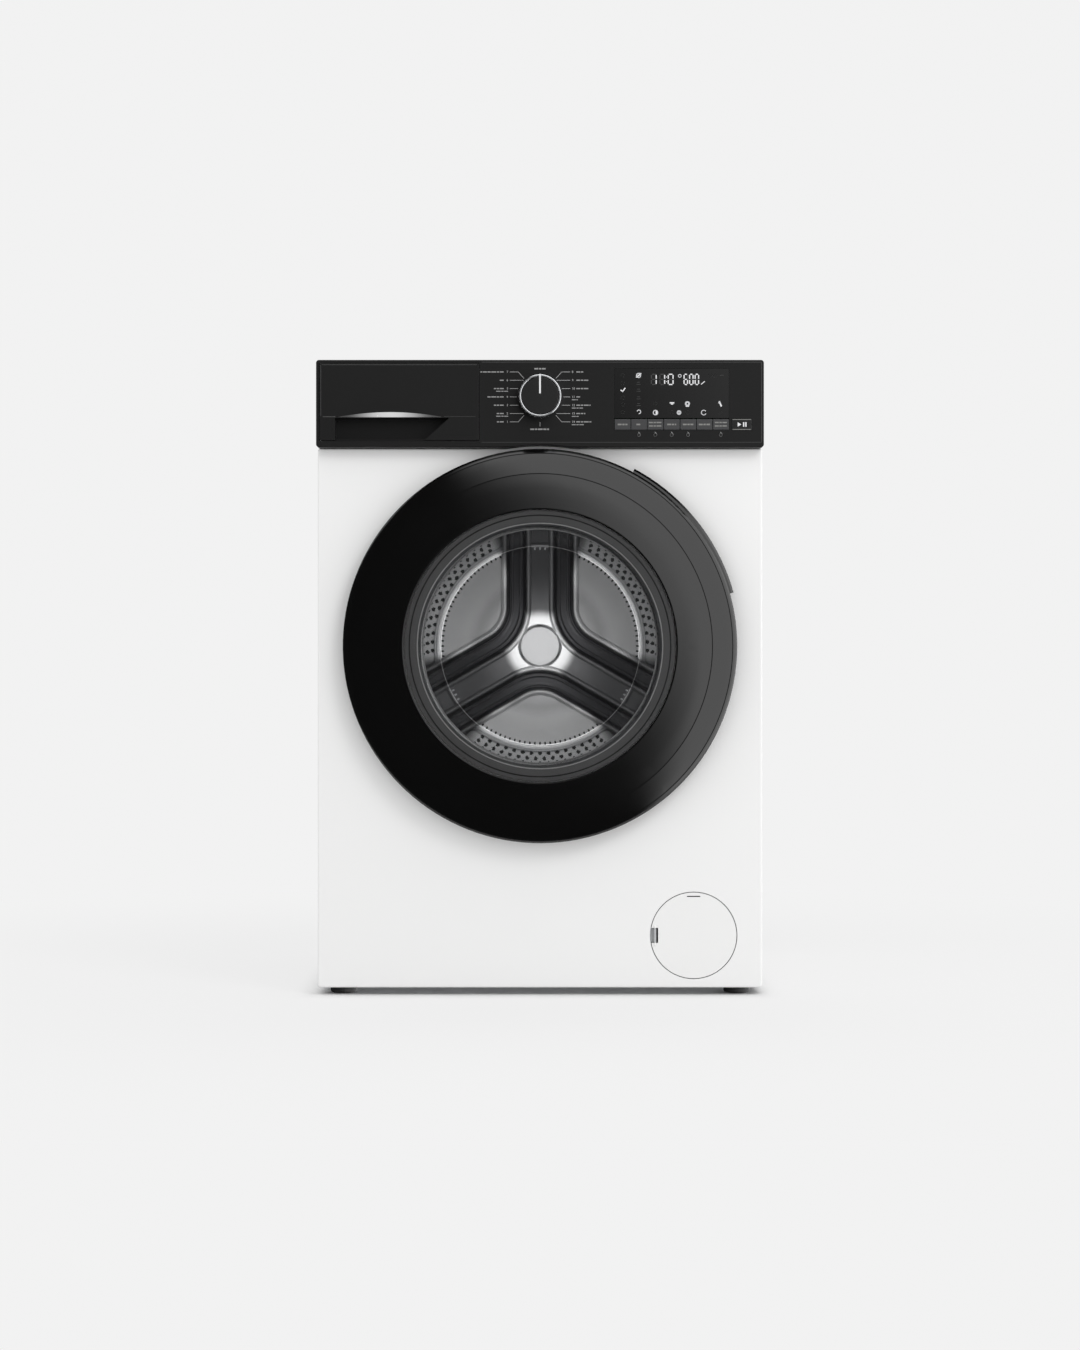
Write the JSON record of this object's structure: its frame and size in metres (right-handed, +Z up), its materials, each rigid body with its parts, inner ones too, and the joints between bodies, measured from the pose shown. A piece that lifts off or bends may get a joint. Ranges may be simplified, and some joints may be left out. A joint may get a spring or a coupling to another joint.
{
  "type": "front-loading washing machine",
  "caption": "Freestanding front-loading washing machine with a round glass door, detergent drawer, selector knob, push keys and a filter flap.",
  "frame": {"origin": "on the floor under the middle of the machine's bounding box", "axes": "+X to the right of somebody facing the door, +Y from the door to the rear wall, +Z up"},
  "size_m": [0.598, 0.5898, 0.85],
  "materials": {
    "white_enamel": "white baked enamel, faint orange peel",
    "zinc_steel": "plain zinc-coated sheet",
    "worktop_white": "white laminate on chipboard",
    "black_fascia": "satin black moulded plastic",
    "display_black": "gloss black tinted acrylic",
    "key_grey": "satin dark grey plastic",
    "trim_chrome": "bright plated plastic",
    "door_black": "high gloss black plastic",
    "door_glass": "clear pressed glass",
    "tinted_glass": "smoked flat pane",
    "grey_rubber": "moulded grey rubber",
    "black_rubber": "moulded black rubber",
    "stainless": "brushed stainless sheet",
    "grey_plastic": "light grey polypropylene",
    "white_plastic": "white moulded plastic",
    "concrete": "cast concrete",
    "cast_alloy": "die-cast aluminium",
    "circuit_green": "coated circuit board",
    "spring_steel": "oiled spring steel"
  },
  "bodies": {
    "cabinet": {"front_panel": "white_enamel", "cabinet_wrap": "white_enamel", "rear_access_cover": "zinc_steel", "worktop": "worktop_white", "base_tray": "zinc_steel", "cross_rails": "zinc_steel", "control_panel": "black_fascia", "display_window": "display_black", "control_board": "circuit_green", "drawer_housing": "white_plastic", "door_hinge_bracket": "zinc_steel", "door_lock": "grey_plastic", "door_gasket": "grey_rubber", "inlet_valve": "white_plastic", "drain_pump": "grey_plastic", "drain_outlet": "grey_plastic", "mains_gland": "black_rubber", "cabinet_fasteners": "zinc_steel", "damper_tubes": "grey_plastic", "fill_hose": "black_rubber", "dispenser_hose": "black_rubber", "drain_hoses": "black_rubber", "rear_feet": "black_rubber"},
    "door": {"door_frame": "door_black", "door_back_ring": "white_plastic", "door_window": "tinted_glass", "door_bowl": "door_glass", "door_hinge_arm": "cast_alloy"},
    "latch": {"latch_hook": "cast_alloy"},
    "drawer": {"drawer_front": "black_fascia", "drawer_tray": "white_plastic", "drawer_grip_trim": "trim_chrome"},
    "selector": {"selector_knob": "display_black", "selector_ring": "trim_chrome"},
    "temperature_key": {"temperature_key": "key_grey"},
    "spin_key": {"spin_key": "key_grey"},
    "delay_key": {"delay_key": "key_grey"},
    "prewash_key": {"prewash_key": "key_grey"},
    "rinse_key": {"rinse_key": "key_grey"},
    "steam_key": {"steam_key": "key_grey"},
    "remote_key": {"remote_key": "key_grey"},
    "start_key": {"start_key": "key_grey"},
    "flap": {"filter_flap": "white_plastic"},
    "filter": {"filter_cap": "grey_plastic"},
    "foot_left": {"foot_front_left": "black_rubber"},
    "foot_right": {"foot_front_right": "black_rubber"},
    "tub": {"tub_front": "grey_plastic", "tub_rear": "grey_plastic", "counterweights": "concrete", "suspension_springs": "spring_steel", "damper_rods": "spring_steel", "motor": "cast_alloy", "drive_belt": "black_rubber", "tub_bearings": "spring_steel"},
    "drum": {"drum_shell": "stainless", "drum_back": "stainless", "drum_lifters": "grey_plastic", "drum_spider": "cast_alloy", "drum_pulley": "cast_alloy"},
    "rotor": {"motor_pulley": "spring_steel"}
  },
  "joints": [
    {"name": "door_hinge", "type": "hinge", "parent": "cabinet", "child": "door", "pos_m": [-0.25, -0.272, 0.468], "axis": [0, 0, -1], "range_deg": [0, 120]},
    {"name": "latch_pivot", "type": "hinge", "parent": "door", "child": "latch", "pos_m": [0.216, -0.26, 0.468], "axis": [0, 0, 1], "range_deg": [0, 12], "stiffness_Nm_per_rad": 0.2, "springref_deg": -17.19},
    {"name": "drawer_slide", "type": "slide", "parent": "cabinet", "child": "drawer", "axis": [0, -1, 0], "range_m": [0, 0.18]},
    {"name": "selector_turn", "type": "hinge", "parent": "cabinet", "child": "selector", "pos_m": [0, -0.28, 0.8005], "axis": [0, -1, 0], "continuous": true},
    {"name": "temperature_press", "type": "slide", "parent": "cabinet", "child": "temperature_key", "axis": [0, 1, 0], "range_m": [0, 0.0012], "stiffness_N_per_m": 600, "springref_m": -0.002},
    {"name": "spin_press", "type": "slide", "parent": "cabinet", "child": "spin_key", "axis": [0, 1, 0], "range_m": [0, 0.0012], "stiffness_N_per_m": 600, "springref_m": -0.002},
    {"name": "delay_press", "type": "slide", "parent": "cabinet", "child": "delay_key", "axis": [0, 1, 0], "range_m": [0, 0.0012], "stiffness_N_per_m": 600, "springref_m": -0.002},
    {"name": "prewash_press", "type": "slide", "parent": "cabinet", "child": "prewash_key", "axis": [0, 1, 0], "range_m": [0, 0.0012], "stiffness_N_per_m": 600, "springref_m": -0.002},
    {"name": "rinse_press", "type": "slide", "parent": "cabinet", "child": "rinse_key", "axis": [0, 1, 0], "range_m": [0, 0.0012], "stiffness_N_per_m": 600, "springref_m": -0.002},
    {"name": "steam_press", "type": "slide", "parent": "cabinet", "child": "steam_key", "axis": [0, 1, 0], "range_m": [0, 0.0012], "stiffness_N_per_m": 600, "springref_m": -0.002},
    {"name": "remote_press", "type": "slide", "parent": "cabinet", "child": "remote_key", "axis": [0, 1, 0], "range_m": [0, 0.0012], "stiffness_N_per_m": 600, "springref_m": -0.002},
    {"name": "start_press", "type": "slide", "parent": "cabinet", "child": "start_key", "axis": [0, 1, 0], "range_m": [0, 0.0012], "stiffness_N_per_m": 600, "springref_m": -0.002},
    {"name": "flap_hinge", "type": "hinge", "parent": "cabinet", "child": "flap", "pos_m": [0.1542, -0.25, 0.08], "axis": [0, 0, -1], "range_deg": [0, 95]},
    {"name": "filter_turn", "type": "hinge", "parent": "cabinet", "child": "filter", "pos_m": [0.206, -0.23, 0.08], "axis": [0, -1, 0], "range_deg": [0, 90]},
    {"name": "foot_left_level", "type": "slide", "parent": "cabinet", "child": "foot_left", "axis": [0, 0, -1], "range_m": [0, 0.015]},
    {"name": "foot_right_level", "type": "slide", "parent": "cabinet", "child": "foot_right", "axis": [0, 0, -1], "range_m": [0, 0.015]},
    {"name": "tub_suspension", "type": "slide", "parent": "cabinet", "child": "tub", "axis": [0, 0, 1], "range_m": [-0.008, 0.008], "stiffness_N_per_m": 16000, "springref_m": 0.02551, "deforming": ["suspension_springs", "door_gasket", "dispenser_hose", "drain_hoses"]},
    {"name": "drum_spin", "type": "hinge", "parent": "tub", "child": "drum", "pos_m": [0, 0, 0.468], "axis": [0, 1, 0], "continuous": true},
    {"name": "motor_spin", "type": "hinge", "parent": "tub", "child": "rotor", "pos_m": [0.1, 0.2, 0.15], "axis": [0, 1, 0], "continuous": true}
  ],
  "couplings": [
    {"joint": "motor_spin", "follows": "drum_spin", "ratio": 12.727}
  ]
}
